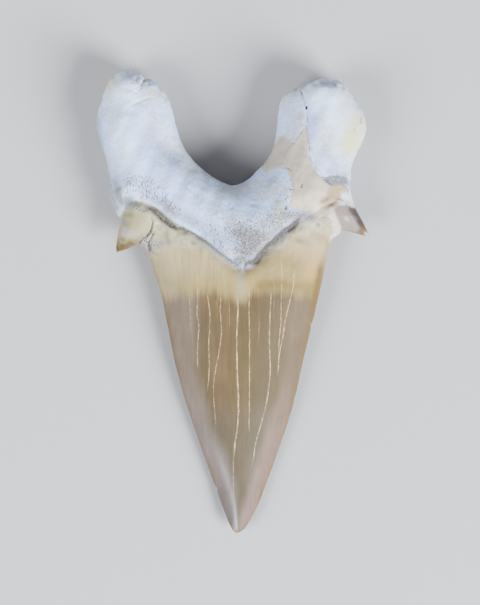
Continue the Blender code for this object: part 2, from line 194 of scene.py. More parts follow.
# The grooves under the root's lip and the ridges above them: strength, half-width and places
LIP_GROOVES = [
    (0.9, 0.5, (-15.6, 17.4, 0.3), (-14.4, 16.8, 0.7), (-13.6, 16.1, 0.9), (-12.7, 15.3),
     (-11.5, 14.3, 0.9), (-10.3, 13.5, 0.6)),
    (0.7, 0.34, (-10.3, 13.5, 0.6), (-9.25, 13.4, 0.7), (-8.5, 12.9, 0.75), (-7.05, 12.3, 0.7),
     (-6.3, 11.7, 0.7), (-4.85, 10.8, 0.6), (-3.4, 9.6, 0.5), (-1.9, 8.4, 0.5), (-0.5, 7.4, 0.6),
     (1.0, 6.4, 0.5)),
    (1.0, 0.45, (2.2, 6.2, 0.5), (2.8, 6.9, 0.7), (4.3, 7.4, 0.9), (5.0, 8.4, 0.9), (5.8, 9.2),
     (6.5, 10.3, 0.9), (7.2, 10.7), (8.0, 11.5), (8.7, 12.1), (9.4, 12.8), (10.2, 13.2),
     (10.9, 13.7, 0.9), (11.6, 14.4, 0.7), (12.4, 15.2, 0.3)),
]
LIP_RIDGES = [
    (1.0, 0.34, (-17.6, 18.8, 0.6), (-15.8, 18.5), (-14.4, 17.8), (-12.9, 17.0, 0.8),
     (-11.4, 15.6, 0.7), (-10.0, 14.6), (-8.5, 13.9), (-7.0, 13.0, 0.9), (-5.6, 12.1, 0.8),
     (-4.1, 11.0, 0.5), (-2.6, 9.7, 0.3)),
    (0.8, 0.34, (3.6, 8.6, 0.4), (5.0, 9.8, 0.8), (6.5, 11.4, 0.9), (8.2, 13.0, 0.9),
     (9.6, 14.2, 0.7)),
]
# Other furrows, and bumps with a depth below zero: depth, half-width, how dirty, and places
FURROWS = [
    # The cracked cleft beside the left cusp
    (0.34, 0.17, 1.0, (-14.6, 15.4, 0.4), (-14.4, 14.6, 0.8), (-14.6, 13.6), (-15.0, 12.7),
     (-15.7, 11.8), (-16.4, 11.3, 0.8), (-17.0, 10.7, 0.8)),
    (0.24, 0.14, 0.8, (-14.0, 13.0, 0.5), (-14.7, 11.9), (-15.2, 11.0), (-15.5, 10.3, 0.8)),
    (0.2, 0.12, 0.7, (-15.0, 12.7), (-14.5, 12.2)),
    (0.2, 0.12, 0.7, (-16.3, 11.3), (-15.6, 10.9), (-15.0, 10.2)),
    (0.3, 0.32, 0.9, (-15.4, 10.2), (-15.2, 9.6)),
    (0.08, 0.22, 0.3, (-14.9, 9.4), (-14.2, 8.8), (-13.4, 8.9, 0.6)),
    # The crack down the right lobe, with its hole
    (0.16, 0.11, 0.45, (12.4, 38.6, 0.4), (12.7, 37.8), (12.8, 37.1, 0.6), (13.0, 36.3),
     (13.3, 35.3)),
    (0.12, 0.1, 0.35, (13.3, 35.3), (13.4, 34.2, 0.3), (13.6, 33.2), (13.5, 32.4, 0.4)),
    (0.5, 0.13, 1.0, (13.35, 35.5), (13.4, 35.1)),
    (0.1, 0.11, 0.3, (13.55, 32.0, 0.3), (13.5, 31.2, 0.9), (13.4, 30.4, 0.3), (13.7, 29.4, 0.9)),
    (0.16, 0.14, 0.45, (13.7, 28.9, 0.3), (13.9, 27.8), (13.9, 27.0, 0.5), (14.1, 26.0),
     (14.5, 24.6, 0.3)),
    (0.1, 0.15, 0.3, (14.5, 24.6, 0.3), (15.1, 23.4, 0.9), (15.7, 22.9, 0.4), (16.4, 22.3),
     (17.2, 21.5, 0.6)),
    (-0.14, 0.16, 0.0, (15.0, 24.2, 0.4), (15.7, 23.4), (16.6, 22.8, 0.5)),
    # The border of the filler on its other side, and in the neck
    (0.05, 0.12, 0.1, (12.9, 31.6, 0.3), (12.0, 30.0, 0.9), (11.4, 29.2, 0.3), (10.0, 27.6, 0.8),
     (9.5, 26.3, 0.2)),
    (0.12, 0.13, 0.5, (9.3, 24.5, 0.3), (10.0, 24.2), (10.8, 23.7, 0.5)),
    (0.1, 0.14, 0.5, (15.8, 15.1, 0.4), (16.6, 15.4), (17.5, 15.1), (18.0, 14.5, 0.5)),
    (0.16, 0.2, 0.7, (15.5, 14.2), (15.7, 13.9)),
    (0.3, 0.26, 0.9, (9.8, 17.1), (9.75, 16.8)),
    (0.15, 0.17, 0.7, (12.5, 21.2), (12.45, 20.8)),
    # The ledge and the hollow beside the right cusp, and the crumbs in it
    # The dirt along the ledge and along the step below it is partly painted shadow under those
    # steps
    (0.2, 0.13, 0.65, (17.2, 21.8, 0.4), (17.7, 21.3), (18.4, 21.15), (19.2, 21.2, 0.7),
     (20.4, 21.15), (20.9, 20.7), (21.1, 20.1, 0.8)),
    (0.3, 1.0, 0.0, (18.4, 20.1), (20.0, 19.9)),
    (0.14, 0.5, 0.15, (16.4, 18.4, 0.6), (17.2, 18.7), (17.9, 18.4, 0.6)),
    (0.12, 0.12, 0.6, (17.6, 17.6, 0.5), (18.0, 17.65), (18.4, 17.9, 0.6)),
    (-0.22, 0.3, 0.0, (19.1, 18.4), (20.0, 18.1)),
    (-0.2, 0.6, 0.0, (20.9, 19.2), (21.2, 17.9)),
    (-0.12, 0.3, 0.0, (16.9, 19.2), (16.0, 18.3)),
    # The left lobe's top, its long hollow, its side and a scratch
    (0.3, 0.24, 0.25, (-15.7, 40.9), (-16.4, 39.9), (-16.8, 38.6, 0.4)),
    (-0.22, 0.55, 0.0, (-16.9, 41.0), (-16.0, 40.1)),
    (-0.2, 0.6, 0.0, (-14.9, 39.4)),
    (0.12, 0.26, 0.12, (-18.8, 35.3, 0.4), (-16.9, 36.4), (-14.8, 37.2, 0.5)),
    (0.12, 0.5, 0.0, (-19.4, 38.8), (-17.6, 38.2)),
    (0.15, 1.3, 0.0, (-15.8, 32.0, 0.4), (-13.8, 29.4), (-11.4, 27.4), (-8.8, 26.0, 0.4)),
    (-0.14, 1.0, 0.0, (-12.4, 33.0, 0.5), (-11.4, 30.6), (-9.8, 28.2, 0.6)),
    (0.26, 0.8, 0.0, (-19.8, 20.8, 0.5), (-19.0, 19.2)),
    (-0.1, 0.35, 0.0, (-20.3, 22.0, 0.3), (-20.1, 19.0), (-19.9, 16.2, 0.7)),
    (0.05, 0.12, 0.15, (-9.2, 21.5, 0.5), (-7.8, 20.2), (-6.5, 19.1, 0.5)),
    # The right lobe's top and right edge
    (0.22, 0.22, 0.2, (18.1, 41.2), (18.15, 40.2), (18.6, 39.3, 0.4)),
    (0.12, 0.3, 0.1, (14.4, 39.4, 0.5), (16.2, 39.8), (17.6, 39.9, 0.5)),
    (0.2, 0.16, 0.6, (23.4, 33.6), (23.35, 32.8)),
    (0.1, 0.18, 0.4, (22.3, 31.6), (22.1, 31.2)),
]
# Small breaks in the cutting edges: place, depth and half-width
NICKS = [
    ((-3.1, -34.3), 0.26, 0.5),
    ((14.5, -4.2), 0.22, 0.45),
    ((-9.9, -14.0), 0.08, 0.5),
    ((11.4, -17.8), 0.08, 0.6),
]
# The ridge down the tip, and how far right the flat facet beside it runs
TIP_RIDGE = [(0.3, -30.0, 0.0), (0.2, -33.0, 0.6), (0.2, -36.5), (0.35, -39.5), (0.65, -42.3)]
FACET_RIGHT = 0.65

# Where the root is full of pores, long pits and grit: strength, half-width and places
PORES = [
    (1.0, 2.6, (0.8, 12.0), (3.2, 11.6), (2.2, 9.6)), (0.8, 1.3, (1.8, 7.8)),
    (0.6, 2.2, (-3.8, 12.6), (-1.2, 10.6)), (0.6, 1.4, (5.8, 12.6), (7.6, 14.2)),
]
PITS = [
    (1.0, 1.5, (-18.4, 21.7), (-16.6, 20.9), (-14.6, 20.0)),
    (0.8, 0.9, (-13.0, 20.0), (-12.4, 18.6)), (0.5, 0.7, (-11.8, 17.9), (-10.0, 16.4)),
]
GRIT = [
    (1.0, 0.55, (10.2, 20.6, 0.5), (9.9, 18.6), (9.8, 17.0)),
    (1.0, 0.75, (10.0, 16.6), (12.2, 16.0), (14.4, 15.4, 0.6)),
    (0.9, 0.75, (-16.4, 11.6), (-15.0, 11.6), (-14.6, 10.4)),
    (0.4, 0.9, (-18.9, 18.0), (-16.8, 17.0)), (0.8, 0.5, (-11.4, 14.2), (-10.4, 13.6)),
    (0.6, 0.7, (16.8, 22.3), (18.6, 22.4), (20.6, 22.2)), (0.5, 0.9, (-18.2, 39.5), (-16.9, 39.2)),
    (0.45, 0.6, (12.2, 31.0), (11.0, 28.8)),
]

# Areas of an even tint: strength, half the width of the soft border, and the closed outline
AREAS = {
    "beige": (
        1.1, 0.7,
        (8.0, 29.4), (9.0, 30.2), (10.2, 29.7), (11.2, 28.8), (11.4, 27.0), (11.0, 25.2),
        (10.6, 23.9), (8.8, 24.3), (7.2, 24.1), (6.0, 23.9), (5.0, 24.6), (5.2, 25.6), (6.2, 27.2),
        (7.2, 28.6),
    ),
    "grey": (
        1.1, 0.4,
        (16.6, 22.4), (18.1, 23.0), (20.5, 22.8), (21.1, 21.6), (20.6, 21.2), (17.7, 21.2),
        (17.0, 21.6),
    ),
    "recess": (
        1.1, 0.5,
        (17.5, 21.0), (20.4, 21.0), (20.9, 19.8), (19.9, 19.5), (19.9, 18.7), (19.0, 18.4),
        (17.8, 18.6), (16.6, 17.9), (15.9, 18.1), (16.5, 18.9), (17.2, 19.4), (17.2, 20.4),
    ),
}
# Soft tints: strength, half-width and places
TINTS = {
    "cream": [
        (1.1, 1.9, (-22.6, 40.6), (-21.4, 38.4)), (0.6, 1.0, (-20.2, 41.7), (-18.4, 42.0)),
        (0.5, 0.9, (-15.9, 40.3)), (0.6, 0.7, (9.4, 37.4), (13.0, 39.3)),
        (0.5, 0.8, (14.6, 40.1), (18.2, 41.2)), (0.35, 2.2, (20.0, 37.4), (22.0, 34.6)),
        (0.4, 1.2, (-10.4, 29.0), (-6.8, 25.0), (-2.2, 22.0)),
        (0.25, 1.0, (-7.8, 24.5), (-3.5, 21.8), (0.5, 20.5), (3.5, 21.6), (6.0, 23.8)),
    ],
    "beige": [(0.5, 1.0, (11.4, 29.6), (12.2, 31.6), (12.6, 33.4))],
    "yellow": [
        (1.2, 2.2, (22.2, 32.4), (21.2, 28.6)), (0.4, 2.0, (19.2, 34.4), (18.6, 28.0)),
        (0.7, 1.0, (8.4, 17.4), (9.3, 15.6), (8.4, 14.4)), (0.3, 0.7, (4.6, 9.8), (6.4, 11.6)),
        (0.35, 1.6, (-17.4, 38.2), (-15.0, 37.2)),
    ],
    "grey": [
        (0.4, 0.6, (17.2, 23.6), (19.0, 23.4), (20.4, 23.2)),
        (0.5, 0.5, (-20.0, 15.2), (-19.5, 14.0)),
        (1.0, 1.0, (9.6, 15.6), (12.2, 15.8), (14.2, 15.4)), (0.3, 1.6, (7.8, 21.2), (8.0, 16.6)),
        (0.35, 0.7, (-19.0, 17.4), (-17.4, 17.2)),
        (0.5, 0.9, (-15.8, 11.2), (-14.2, 10.4), (-12.8, 10.6)),
        (0.7, 0.9, (6.4, 12.0), (8.4, 13.4)), (0.4, 1.4, (-9.0, 15.8), (-6.8, 14.6)),
    ],
    # Painted shade on the left lobe's steep sides, in its long hollow, along the lip and at a few
    # slopes on the right lobe
    "side": [
        (0.9, 1.0, (-23.4, 29.0, 0.1), (-22.9, 25.0, 0.4), (-22.4, 21.6), (-21.4, 17.2)),
        (0.8, 1.3, (-21.4, 24.0, 0.2), (-21.2, 21.6), (-20.6, 18.4)),
        (0.28, 1.1, (-14.8, 30.8), (-12.4, 27.8), (-10.0, 25.4)),
        (0.7, 1.0, (-24.8, 33.0), (-23.6, 25.0)), (0.35, 1.3, (16.8, 26.6), (18.6, 24.6)),
        (0.5, 0.5, (21.4, 21.8), (21.1, 20.4)),
        (1.2, 1.0, (-20.8, 20.4), (-20.4, 18.6), (-18.8, 18.4)),
        (0.6, 0.9, (-15.6, 19.0), (-13.4, 17.9), (-11.6, 17.0)),
    ],
    "mauve": [
        (0.8, 0.9, (-12.4, 18.3), (-10.2, 16.2)),
        (0.6, 0.55, (-6.0, 11.4), (-3.6, 9.8), (-0.8, 7.6, 0.4)),
        (0.8, 0.6, (-16.3, 10.3), (-15.1, 9.0)), (0.55, 1.2, (-18.2, 21.4), (-14.6, 20.0)),
        (0.8, 0.65, (4.0, 7.2), (7.2, 10.6), (10.4, 13.4), (12.4, 15.2)),
    ],
    "warm_band": [(0.9, 2.8, (6.0, 6.6), (10.0, 7.2), (11.0, 6.4))],
    "porous": [
        (1.0, 2.8, (1.4, 12.4), (4.2, 11.6), (2.4, 9.6)), (0.45, 2.4, (-3.6, 12.4), (-0.6, 9.8)),
        (0.75, 2.2, (5.6, 14.2), (8.6, 15.8)), (0.9, 1.2, (0.9, 7.3), (2.0, 7.8)),
        (0.25, 1.6, (-11.0, 17.4), (-6.4, 14.0)),
    ],
    "lilac": [
        (0.8, 0.8, (14.6, 33.4), (14.9, 30.0)), (0.5, 1.0, (15.8, 27.4), (16.8, 24.8)),
        (0.4, 2.2, (-17.0, 31.0), (-14.0, 24.0), (-8.0, 18.0)),
    ],
    "green": [
        (0.8, 0.5, (-12.0, 12.4), (-11.5, 10.6)), (0.8, 0.5, (-19.6, 15.9), (-18.2, 15.7)),
        (0.5, 0.4, (-17.6, 18.0), (-17.0, 17.0)), (0.5, 0.3, (-20.8, 14.2), (-20.9, 13.0)),
        (0.5, 0.35, (-9.8, 12.9), (-8.6, 12.4)), (0.3, 0.8, (8.6, 29.4)),
        (0.35, 1.4, (-13.6, 7.2), (-13.2, 4.2), (-10.6, 2.8)),
        (0.5, 0.8, (11.8, 11.2), (13.6, 10.8)),
    ],
    "recess": [],
    # Brownish blotches, and in the first stroke a painted shadow under the step at the filler's
    # lower end
    "brown": [
        (0.4, 0.45, (16.3, 18.3), (17.2, 18.6)), (0.5, 0.3, (16.4, 22.6), (16.9, 21.9)),
        (0.6, 0.4, (11.9, 11.1), (12.6, 10.9)), (0.3, 0.9, (15.2, 12.2), (17.0, 11.4)),
        (0.4, 0.5, (11.0, -6.0), (12.2, -5.6)),
    ],
    "umber": [
        (0.5, 1.6, (5.4, -1.0), (5.8, -8.0), (5.0, -17.0)),
        (0.35, 1.0, (-3.6, -15.4), (-3.2, -19.0)),
    ],
    # Partly bleached ridges and crumbs, partly painted light: the broad strokes on the lobes and
    # their tops lighten what the lamps leave in shade
    "pale": [
        (0.6, 0.3, (-15.8, 18.5), (-14.4, 17.8), (-12.9, 17.0)),
        (0.7, 0.3, (-10.6, 15.0), (-8.5, 13.9), (-6.0, 12.4)),
        (0.15, 0.35, (8.4, 9.8), (10.0, 11.4)), (0.9, 2.8, (15.8, 37.6), (18.8, 34.0)),
        (0.7, 2.4, (-19.8, 31.4), (-18.4, 25.4)), (0.6, 1.1, (-12.8, 35.4), (-11.4, 31.2)),
        (0.4, 1.6, (-10.6, 20.4), (-7.0, 17.6)), (1.0, 2.2, (-20.6, 37.2), (-18.2, 36.8)),
        (0.35, 2.6, (-4.0, 19.2), (3.2, 19.2)), (0.4, 1.5, (0.6, 15.6)),
        (1.4, 1.1, (14.6, 40.4), (17.4, 41.0), (19.6, 40.2)),
        (1.4, 1.1, (-20.2, 42.0), (-18.6, 42.2), (-16.8, 41.4)),
    ],
    "plaster": [
        (0.9, 0.4, (19.3, 18.2), (20.2, 18.0)), (0.9, 0.6, (20.7, 19.4), (21.3, 18.4)),
        (0.3, 0.7, (12.6, 14.6), (14.4, 14.1)),
        (0.5, 0.5, (18.0, 15.8), (18.6, 14.4), (19.0, 13.2)),
        (0.7, 0.35, (19.2, 12.6), (18.2, 12.0), (17.9, 11.0, 0.4)),
        (0.5, 0.8, (15.2, 17.2), (16.8, 16.4)),
    ],
    "amber": [
        (1.0, 0.85, (16.6, 8.4, 0.2), (15.9, 5.2), (15.0, 0.4), (14.2, -4.0, 0.5),
         (13.4, -8.0, 0.3)),
        (0.2, 0.4, (-13.6, 3.4), (-12.4, -2.0), (-10.9, -9.5), (-9.6, -14.5)),
        (0.3, 0.5, (12.0, -15.0), (9.5, -24.0)),
        (0.65, 0.8, (-6.2, -1.6, 0.4), (-5.2, 0.2), (-3.4, 0.1), (-3.0, -1.8, 0.5)),
    ],
    "rose": [(0.55, 1.0, (14.9, 8.5), (13.9, 4.4)), (0.25, 0.8, (-7.6, 8.2), (-5.4, 7.2))],
    "streak": [
        (0.9, 0.6, (1.5, 5.6), (1.5, 2.4, 0.9), (1.5, 1.0, 0.5), (1.6, -0.4, 0.0)),
        (0.6, 0.22, (-20.9, 8.9), (-18.9, 9.6), (-17.2, 10.6)),
    ],
    "ochre": [
        (0.15, 0.8, (-7.0, 2.6), (-3.5, 2.4), (-0.8, 2.6)),
        (1.0, 1.4, (5.2, 3.0), (8.4, 3.2), (11.6, 2.8, 0.7), (14.0, 2.6, 0.7)),
    ],
    # Painted shade: the tip's left facet darker where it faces away from the lamps
    "facet": [(0.7, 0.9, (-2.6, -31.0, 0.2), (-1.8, -35.2, 0.7), (-1.0, -38.2), (-0.2, -40.6))],
    # Partly a worn ridge, partly a painted highlight along the tip's crest
    "ridge": [
        (0.9, 0.55, (-2.8, -27.6, 0.5), (-1.4, -31.4), (-0.7, -34.0)),
        (1.0, 0.4, (-0.4, -34.4), (0.2, -37.6), (0.5, -41.8)),
    ],
    # Painted highlights: glints on the two side cusps and a bright line near the tip
    "pearl": [
        (0.9, 0.38, (-19.6, 13.4), (-19.9, 12.4)), (0.5, 0.5, (-19.0, 12.6), (-18.0, 12.4)),
        (0.9, 0.28, (20.7, 15.3), (20.95, 15.0)), (0.4, 0.22, (21.5, 15.6), (22.6, 14.2)),
        (0.8, 0.35, (24.4, 12.5), (24.9, 12.1)),
        (0.8, 0.22, (0.35, -37.0, 0.4), (0.55, -39.5), (0.66, -41.6)),
    ],
}


def tint(text, colour):
    """A colour that the user can change."""
    return FloatVectorProperty(
        description=text, subtype="COLOR", size=3, min=0.0, max=1.0, default=colour
    )


def amount(text, value, unit="NONE"):
    """A number that the user can change."""
    return FloatProperty(description=text, unit=unit, precision=6, min=0.0, default=value)


def length(text, millimetres):
    """A length that the user can change."""
    return amount(text, millimetres * MM, "LENGTH")


class ToothRelief(PropertyGroup):
    """How strongly the small forms of the tooth stand out."""

    lip: length("How far the root's lip stands out over the crown", 0.20)
    groove: length("Depth of the groove under the lip", 0.30)
    pits: length("Depth of the pores, pits and grit in the root", 0.14)
    swell: length("Height of the root's broad unevenness", 0.14)
    chalk: length("Height of the root's fine unevenness", 0.07)
    rim: length("How uneven the edges of the lobes' tops are", 0.16)
    filler: length("How far the filler stands proud of the root", 0.10)
    enamel: length("Height of the long faint waves in the enamel", 0.012)
    facet: length("How much flatter the tip's left facet is", 0.16)
    furrows: amount("Strength of furrows and bumps", 1.0)


class ToothColours(PropertyGroup):
    """The colours of the tooth."""

    root: tint("Chalky root, bluish white", (0.58, 0.71, 1.0))
    root_warm: tint("Chalky root where it is less blue", (0.68, 0.69, 0.74))
    stain: tint("Fine dull mottling of the root", (0.38, 0.37, 0.35))
    cream: tint("Stain on the lobes' tops", (0.58, 0.53, 0.32))
    beige: tint("Stain beside the filler", (0.52, 0.42, 0.31))
    yellow: tint("Yellowish tint of the root", (0.70, 0.62, 0.30))
    grey: tint("Greyish patches of the root", (0.17, 0.155, 0.15))
    # Painted shade on steep sides and hollows of the root
    side: tint("Dull sides of the left lobe", (0.24, 0.24, 0.21))
    mauve: tint("Mauve stains around the pores", (0.25, 0.19, 0.18))
    porous: tint("Greyish ground between the pores", (0.23, 0.215, 0.185))
    lilac: tint("Bluest patches of the root", (0.50, 0.54, 0.90))
    green: tint("Greenish tint of the neck", (0.226, 0.194, 0.100))
    recess: tint("Hollow beside the right cusp", (0.38, 0.245, 0.12))
    # Brownish blotches and hairlines, and also a painted shadow under one step
    brown: tint("Brownish blotches", (0.17, 0.112, 0.065))
    # Partly bleached ridges and crumbs, partly painted light on the lobes and their tops
    pale: tint("Bleached ridges and crumbs", (0.80, 0.88, 1.0))
    plaster: tint("Whitest parts of the filler", (0.71, 0.61, 0.49))
    filler: tint("Filler in the old crack", (0.55, 0.42, 0.29))
    neck: tint("Swollen band under the root", (0.43, 0.36, 0.205))
    band: tint("Cream upper part of the enamel", (0.360, 0.245, 0.080))
    band_pale: tint("Cream enamel's top and left", (0.430, 0.310, 0.145))
    ochre: tint("Darker lower part of the cream enamel", (0.180, 0.115, 0.028))
    tan: tint("Middle of the blade", (0.102, 0.066, 0.026))
    tan_warm: tint("Streaks in the middle of the blade", (0.130, 0.073, 0.030))
    tan_low: tint("Middle of the blade towards the tip", (0.102, 0.074, 0.040))
    umber: tint("Darkest of the blade's middle", (0.085, 0.050, 0.016))
    warm_band: tint("Right half of the cream enamel", (0.250, 0.165, 0.050))
    # The flanks are partly the enamel's own tone and partly a painted sheen of the lamps, lighter
    # towards the tip
    left_flank: tint("Blade's left flank", (0.186, 0.128, 0.079))
    left_flank_low: tint("Left flank towards the tip", (0.205, 0.152, 0.116))
    right_flank: tint("Blade's right flank", (0.150, 0.097, 0.052))
    right_flank_low: tint("Right flank towards the tip", (0.195, 0.123, 0.083))
    amber: tint("Thin enamel along the cutting edges", (0.155, 0.086, 0.028))
    rose: tint("Rosy tints of the cream enamel", (0.500, 0.270, 0.075))
    streak: tint("Whitish streak under the root's point", (0.300, 0.250, 0.168))
    # Painted shade on the tip's left facet
    facet: tint("Dull flat side of the tip", (0.098, 0.078, 0.068))
    # Partly worn, partly a painted highlight along the tip's crest
    ridge: tint("Light streak along the tip's ridge", (0.260, 0.210, 0.185))
    # A painted highlight on the side cusps and the tip
    pearl: tint("Pearly glints of the side cusps", (0.470, 0.350, 0.375))
    crack: tint("Cracks in the enamel", (0.64, 0.45, 0.21))
    grime: tint("Dirt in grooves and clefts", (0.066, 0.052, 0.046))
    pore: tint("Dirt in the root's pores", (0.085, 0.062, 0.058))
    left_cusp: tint("Enamel of the left side cusp", (0.38, 0.31, 0.15))
    left_cusp_tip: tint("Tip of the left side cusp", (0.108, 0.060, 0.022))
    right_cusp: tint("Pale side of the right side cusp", (0.245, 0.178, 0.130))
    # Painted shade on the right cusp's upper right side
    right_cusp_dark: tint("Dark side of that cusp", (0.075, 0.052, 0.041))
    right_cusp_tip: tint("Tip of the right side cusp", (0.155, 0.083, 0.034))


class StageSettings(PropertyGroup):
    """The floor, the lights and the camera."""

    lens: amount("Focal length", 200.0, "CAMERA")
    distance: length("From the camera to the tooth's outline", 615.6)
    floor: tint("Plain pale floor", (0.464, 0.417, 0.367))
    light: tint("Colour of the lights", (0.72, 0.82, 1.0))
    key_power: amount("Power of the right softbox", 37.0, "POWER")
    fill_power: amount("Power of the left softbox", 14.0, "POWER")
    room: amount("Strength of the light from all around", 0.30)


def smooth_step(low, high, value):
    """0 below low, 1 above high, with a level start and end."""
    share = np.clip((value - low) / (high - low), 0.0, 1.0)
    return share * share * (3.0 - 2.0 * share)


def bell(value, width):
    """1 at zero, falling smoothly to nothing about two widths away."""
    return np.exp(-((value / width) ** 2))


def smooth_path(points, step=0.25, closed=False):
    """Places about a step apart on a smooth curve through the given ones, with their weights."""
    knots = [np.array((*p, 1.0)[:3], float) for p in points]
    if len(knots) == 1:
        return np.array(knots * 2)
    if closed:
        knots = [knots[-1], *knots, knots[0], knots[1]]
    else:
        knots = [2 * knots[0] - knots[1], *knots, 2 * knots[-1] - knots[-2]]
    fine = []
    for before, start, end, after in zip(knots, knots[1:], knots[2:], knots[3:]):
        count = max(2, round(np.linalg.norm(end[:2] - start[:2]) / step))
        for t in np.arange(count) / count:
            fine.append(
                0.5 * (2 * start + (end - before) * t
                       + (2 * before - 5 * start + 4 * end - after) * t ** 2
                       + (3 * start - before - 3 * end + after) * t ** 3)
            )
    fine.append(knots[-2])
    return np.array(fine)


def nearest(places, path, reach):
    """The gap from each place to a path, up to a reach, and the weight of the path there."""
    gaps = np.full(len(places), float(reach))
    weights = np.zeros(len(places))
    low = path[:, :2].min(axis=0) - reach
    high = path[:, :2].max(axis=0) + reach
    near = np.flatnonzero(np.all((places > low) & (places < high), axis=1))
    spots = places[near]
    best = gaps[near]
    held = weights[near]
    for start, end in zip(path[:-1], path[1:]):
        run = end[:2] - start[:2]
        share = np.clip((spots - start[:2]) @ run / max(run @ run, 1e-12), 0.0, 1.0)
        gap = np.linalg.norm(spots - start[:2] - share[:, None] * run, axis=1)
        closer = gap < best
        best = np.where(closer, gap, best)
        held = np.where(closer, start[2] + share * (end[2] - start[2]), held)
    gaps[near] = best
    weights[near] = held
    return gaps, weights


def gap_to(places, points, reach=3.0):
    """The gap from each place to the smooth curve through some points, up to a reach."""
    return nearest(places, smooth_path(points), reach)[0]


def above(places, line, reach=6.0):
    """The distance from a line that runs from left to right, above it positive."""
    path = smooth_path(line)
    gap, _ = nearest(places, path, reach)
    return np.where(places[:, 1] > np.interp(places[:, 0], path[:, 0], path[:, 1]), gap, -gap)


def within(places, outline, reach=4.0):
    """The distance from a closed outline, inside it positive."""
    ring = smooth_path(outline, closed=True)
    crossings = np.zeros(len(places), int)
    for (x0, y0, _), (x1, y1, _) in zip(ring[:-1], ring[1:]):
        if y0 == y1:
            continue
        spans = (places[:, 1] >= min(y0, y1)) & (places[:, 1] < max(y0, y1))
        crossings += spans & (places[:, 0] < x0 + (places[:, 1] - y0) * (x1 - x0) / (y1 - y0))
    gap, _ = nearest(places, ring, reach)
    return np.where(crossings % 2 == 1, gap, -gap)


def strokes(places, table):
    """How strongly the soft strokes of a table cover each place."""
    total = np.zeros(len(places))
    for most, width, *points in table:
        gap, weight = nearest(places, smooth_path(points), STROKE_REACH * width)
        total = np.maximum(total, most * np.clip(weight, 0.0, 1.0) * bell(gap, width))
    return total


def line_at(line, y):
    """Where a line that runs from the tip up is at a height."""
    path = smooth_path(line)
    return np.interp(y, path[:, 1], path[:, 0])


class Painter:
    """Adds nodes to a material.

    A value is a number or another node's output. A colour is the name of a setting or another
    node's output.
    """

    def __init__(self, material, colours):
        self.tree = material.node_tree
        self.colours = colours
        self.place = self.stretched((1.0, 1.0, 1.0))

    def add(self, kind, values=(), **settings):
        """A new node with its settings, and its inputs by name or number."""
        node = self.tree.nodes.new(kind)
        for name, value in settings.items():
            setattr(node, name, value)
        for key, value in dict(values).items():
            if isinstance(value, bpy.types.NodeSocket):
                self.tree.links.new(value, node.inputs[key])
            else:
                node.inputs[key].default_value = value
        return node

    def stretched(self, scale):
        """The place on the tooth in millimetres, stretched."""
        place = self.add("ShaderNodeTexCoord").outputs["Object"]
        size = [s / MM for s in scale]
        return self.add("ShaderNodeMapping", {"Vector": place, "Scale": size}).outputs[0]

    def axes(self):
        """The place on the tooth across, along and up, in millimetres."""
        return self.add("ShaderNodeSeparateXYZ", {0: self.place}).outputs

    def marking(self, name):
        """An attribute of the mesh."""
        return self.add("ShaderNodeAttribute", attribute_name=name).outputs["Fac"]

    def math(self, operation, first, second=0.0, third=0.0):
        """Up to three values through one arithmetic step."""
        values = {0: first, 1: second, 2: third}
        return self.add("ShaderNodeMath", values, operation=operation).outputs[0]

    def times(self, first, second):
        return self.math("MULTIPLY", first, second)

    def plus(self, first, second):
        return self.math("ADD", first, second)

    def largest(self, first, second):
        return self.math("MAXIMUM", first, second)

    def ramp(self, value, low, high, start=0.0, end=1.0):
        """From start where the value is low, smoothly to end where it is high."""
        values = {"Value": value, "From Min": low, "From Max": high, "To Min": start, "To Max": end}
        return self.add("ShaderNodeMapRange", values, interpolation_type="SMOOTHSTEP").outputs[0]

    def beyond(self, name, waver, low, high, start=0.0, end=1.0):
        """Where a marking is above zero, with a soft border that a second value shifts."""
        return self.ramp(self.plus(self.marking(name), waver), low, high, start, end)

    def cloud(self, scale, detail=2.0, place=None, roughness=0.5):
        """Soft noise, with scale in repeats per millimetre."""
        place = place or self.place
        values = {"Vector": place, "Scale": scale, "Detail": detail, "Roughness": roughness}
        return self.add("ShaderNodeTexNoise", values).outputs[0]

    def specks(self, scale, radius, share):
        """Small round specks in a share of the cells of a scattered grid."""
        cells = self.add("ShaderNodeTexVoronoi", {"Vector": self.place, "Scale": scale}).outputs
        chance = self.add("ShaderNodeSeparateColor", {0: cells["Color"]}).outputs[0]
        chosen = self.math("LESS_THAN", chance, share)
        return self.times(self.ramp(cells["Distance"], 0.4 * radius, radius, 1.0, 0.0), chosen)

    def mix(self, share, first, second, blend_type="MIX"):
        """A share of the second colour over the first."""
        pair = [(*getattr(self.colours, c), 1.0) if isinstance(c, str) else c
                for c in (first, second)]
        values = {0: share, 6: pair[0], 7: pair[1]}
        node = self.add("ShaderNodeMix", values, data_type="RGBA", blend_type=blend_type)
        return node.outputs[2]

    def shaded(self, colour, shade):
        """A colour made darker or lighter by a value near 1."""
        grey = self.add("ShaderNodeCombineColor", {0: shade, 1: shade, 2: shade}).outputs[0]
        return self.mix(1.0, colour, grey, "MULTIPLY")

    def curve(self, value, knots):
        """A curve through knots, whose places and values run from 0 to 1."""
        node = self.add("ShaderNodeFloatCurve", {"Value": value})
        points = node.mapping.curves[0].points
        while len(points) < len(knots):
            points.new(0.5, 0.5)
        for point, knot in zip(points, knots):
            point.location = knot
        node.mapping.update()
        return node.outputs[0]


